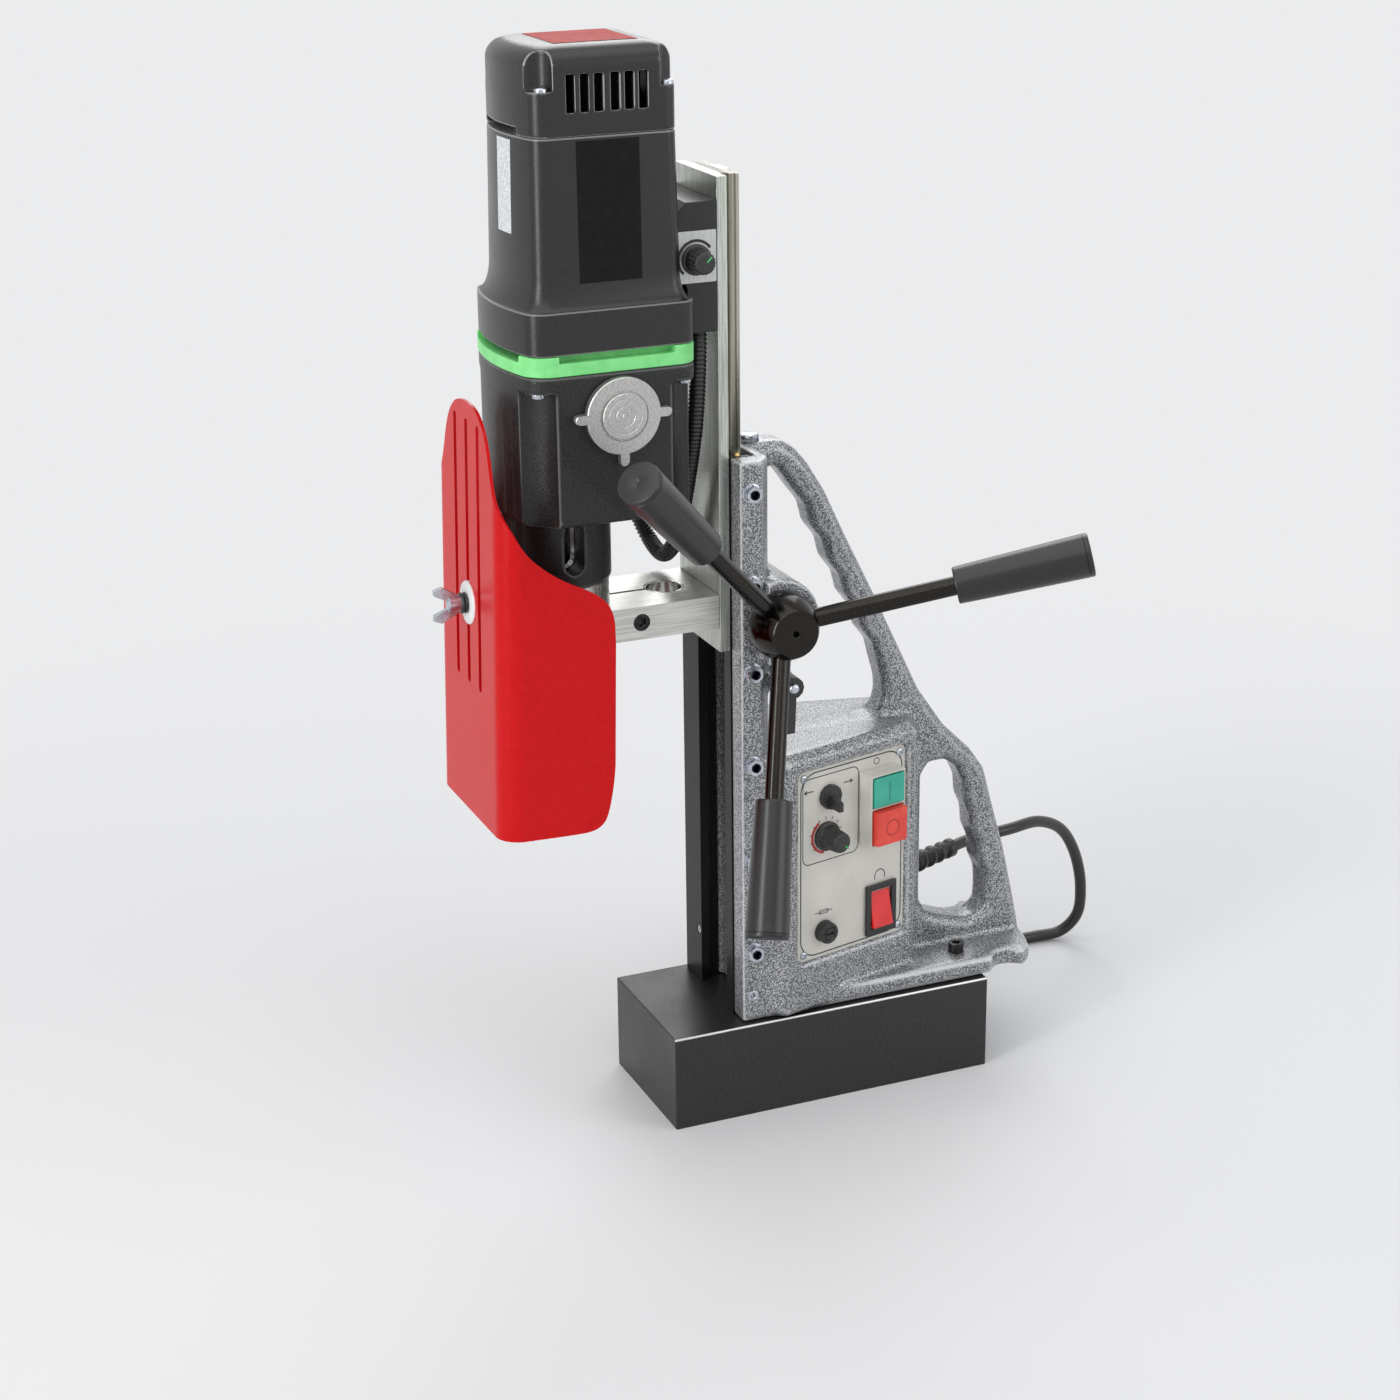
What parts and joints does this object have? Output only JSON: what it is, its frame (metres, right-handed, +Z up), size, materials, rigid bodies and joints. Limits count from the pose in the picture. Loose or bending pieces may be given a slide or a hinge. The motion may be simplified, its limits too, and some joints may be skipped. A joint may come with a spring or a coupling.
{
  "type": "magnetic drill",
  "caption": "Magnet-based drilling machine: cast stand with carrying handle, dovetail slide with motor, gearbox and spindle, spoked feed handle, control panel, red chip guard and mains lead.",
  "frame": {"origin": "centre of the magnet's underside, on the work surface", "axes": "+Z up along the slide; -Y towards the spindle and the chip guard; +X towards the control panel and the feed handle; +Y towards the carrying handle"},
  "size_m": [0.3227, 0.5058, 0.6727],
  "materials": {
    "magnet_steel": "satin enamel",
    "copper_winding": "enamelled winding",
    "potting": "cast resin",
    "hammered_casting": "hammered silver-grey paint",
    "dark_steel": "oiled steel",
    "brass": "plain",
    "zinc": "zinc plated",
    "black_screws": "black oxide",
    "panel_cream": "satin print",
    "box_cream": "satin plastic",
    "black_plastic": "fine texture",
    "cord_rubber": "matte",
    "board": "laminate",
    "aluminium": "machined",
    "steel": "ground",
    "green_plastic": "satin",
    "red_guard": "gloss enamel",
    "white_washer": "satin",
    "grip_plastic": "satin",
    "teal_button": "satin",
    "coral_button": "satin",
    "red_rocker": "lit translucent"
  },
  "bodies": {
    "stand": {"magnet_body": "magnet_steel", "magnet_coil": "copper_winding", "magnet_potting": "potting", "stand_casting": "hammered_casting", "fixed_way": "dark_steel", "gib_strip": "dark_steel", "gib_screw_1": "zinc", "gib_screw_2": "zinc", "gib_screw_3": "zinc", "gib_screw_4": "zinc", "gib_screw_5": "zinc", "gib_screw_6": "zinc", "top_bolt": "zinc", "foot_bolt_near": "black_screws", "foot_bolt_far": "black_screws", "control_panel": "panel_cream", "push_button_box": "box_cream", "rocker_bezel": "black_plastic", "circuit_board": "board", "cord_gland": "black_plastic", "mains_cord": "cord_rubber", "cord_coil": "cord_rubber", "mains_plug": "black_plastic", "pinion_bush": "brass"},
    "carriage": {"slide": "aluminium", "rack": "steel", "spindle_bracket": "aluminium", "bracket_clamp_screw": "black_screws", "gearbox_housing": "black_plastic", "bearing_nose": "aluminium", "bearing_plate": "green_plastic", "motor_housing": "black_plastic", "motor_cap": "black_plastic", "stator": "dark_steel", "torque_box": "black_plastic", "conduit": "black_plastic", "guard_holder": "aluminium"},
    "capstan": {"pinion_shaft": "steel", "capstan_hub": "black_screws", "spoke_1": "black_screws", "spoke_2": "black_screws", "spoke_3": "black_screws", "spoke_grip_1": "grip_plastic", "spoke_grip_2": "grip_plastic", "spoke_grip_3": "grip_plastic"},
    "spindle": {"spindle": "steel"},
    "idler": {"idler_gear": "steel"},
    "armature": {"armature": "steel"},
    "guard": {"guard_sheet": "red_guard"},
    "wing_screw": {"guard_wing_screw": "zinc", "guard_washer": "white_washer"},
    "gear_selector": {"gear_selector": "aluminium"},
    "torque_knob": {"torque_knob": "black_plastic"},
    "start_button": {"start_button": "teal_button"},
    "stop_button": {"stop_button": "coral_button"},
    "magnet_rocker": {"magnet_rocker": "red_rocker"},
    "direction_knob": {"selector_knob": "black_plastic"},
    "speed_knob": {"speed_knob": "black_plastic"},
    "fuse_cap": {"fuse_cap": "black_plastic"},
    "lock_lever": {"lock_lever": "black_plastic"}
  },
  "joints": [
    {"name": "carriage_slide", "type": "slide", "parent": "stand", "child": "carriage", "axis": [0, 0, 1], "range_m": [-0.235, 0.01]},
    {"name": "capstan_turn", "type": "hinge", "parent": "stand", "child": "capstan", "pos_m": [0, -0.04, 0.328], "axis": [1, 0, 0], "range_deg": [-66, 1500]},
    {"name": "spindle_turn", "type": "hinge", "parent": "carriage", "child": "spindle", "pos_m": [0, -0.161, 0.35], "axis": [0, 0, 1], "continuous": true},
    {"name": "idler_turn", "type": "hinge", "parent": "carriage", "child": "idler", "pos_m": [-0.01989, -0.14059, 0.43], "axis": [0, 0, 1], "continuous": true},
    {"name": "armature_turn", "type": "hinge", "parent": "carriage", "child": "armature", "pos_m": [0, -0.1385, 0.58], "axis": [0, 0, 1], "continuous": true},
    {"name": "guard_slide", "type": "slide", "parent": "carriage", "child": "guard", "axis": [0, 0.0262, 0.9997], "range_m": [-0.105, 0.044]},
    {"name": "wing_screw_turn", "type": "hinge", "parent": "carriage", "child": "wing_screw", "pos_m": [0, -0.161, 0.348], "axis": [0, -0.9997, 0.0262], "range_deg": [0, 540]},
    {"name": "gear_selector_turn", "type": "hinge", "parent": "carriage", "child": "gear_selector", "pos_m": [0, -0.1374, 0.466], "axis": [1, 0, 0], "range_deg": [0, 90]},
    {"name": "torque_knob_turn", "type": "hinge", "parent": "carriage", "child": "torque_knob", "pos_m": [0.033, -0.083, 0.547], "axis": [1, 0, 0], "range_deg": [-140, 140]},
    {"name": "start_button_press", "type": "slide", "parent": "stand", "child": "start_button", "axis": [-0.9728, -0.2317, 0], "range_m": [0, 0.003], "stiffness_N_per_m": 500},
    {"name": "stop_button_press", "type": "slide", "parent": "stand", "child": "stop_button", "axis": [-0.9728, -0.2317, 0], "range_m": [0, 0.003], "stiffness_N_per_m": 500},
    {"name": "magnet_rocker_tilt", "type": "hinge", "parent": "stand", "child": "magnet_rocker", "pos_m": [0.03453, 0.03853, 0.12025], "axis": [-0.2317, 0.9728, 0], "range_deg": [0, 22.9]},
    {"name": "direction_knob_turn", "type": "hinge", "parent": "stand", "child": "direction_knob", "pos_m": [0.04425, -0.00228, 0.207], "axis": [0.9728, 0.2317, 0], "range_deg": [-60, 60]},
    {"name": "speed_knob_turn", "type": "hinge", "parent": "stand", "child": "speed_knob", "pos_m": [0.04479, -0.00451, 0.181], "axis": [0.9728, 0.2317, 0], "range_deg": [-140, 140]},
    {"name": "fuse_cap_turn", "type": "hinge", "parent": "stand", "child": "fuse_cap", "pos_m": [0.04513, -0.00597, 0.1165], "axis": [0.9728, 0.2317, 0], "range_deg": [0, 90]},
    {"name": "lock_lever_turn", "type": "hinge", "parent": "stand", "child": "lock_lever", "pos_m": [0.041, -0.033, 0.287], "axis": [1, 0, 0], "range_deg": [-30, 60]}
  ],
  "couplings": [
    {"joint": "capstan_turn", "follows": "carriage_slide", "rad_per_m": -111.11},
    {"joint": "idler_turn", "follows": "spindle_turn", "ratio": -2.8},
    {"joint": "armature_turn", "follows": "spindle_turn", "ratio": 8.4}
  ]
}
